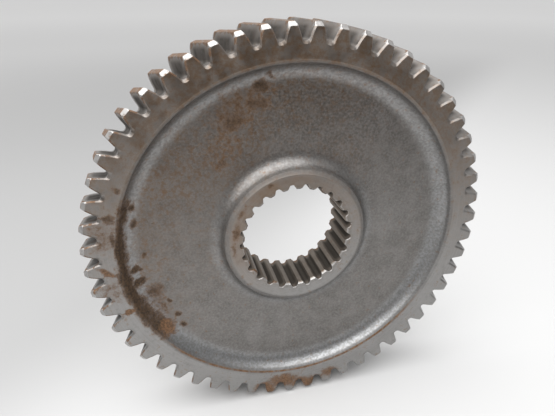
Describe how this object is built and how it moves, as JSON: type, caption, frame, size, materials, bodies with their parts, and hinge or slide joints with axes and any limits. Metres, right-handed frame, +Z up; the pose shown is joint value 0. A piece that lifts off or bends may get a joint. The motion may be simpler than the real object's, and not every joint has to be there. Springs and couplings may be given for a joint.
{
  "type": "helical gear",
  "caption": "Steel gear with 55 left-hand helical teeth, a recessed forged web and a hub with a 25-tooth splined bore.",
  "frame": {"origin": "on the axis of the bore, midway between the two faces", "axes": "+Y along the bore axis, from the front face to the back face; +Z up, with the gear standing as on a level shaft; at the front face a tooth is centred on +X"},
  "size_m": [0.2356, 0.0286, 0.2356],
  "materials": {
    "forged_steel": "turned faces and teeth, as-forged web, brown rust in patches"
  },
  "bodies": {
    "root": {"gear": "forged_steel"}
  },
  "joints": []
}
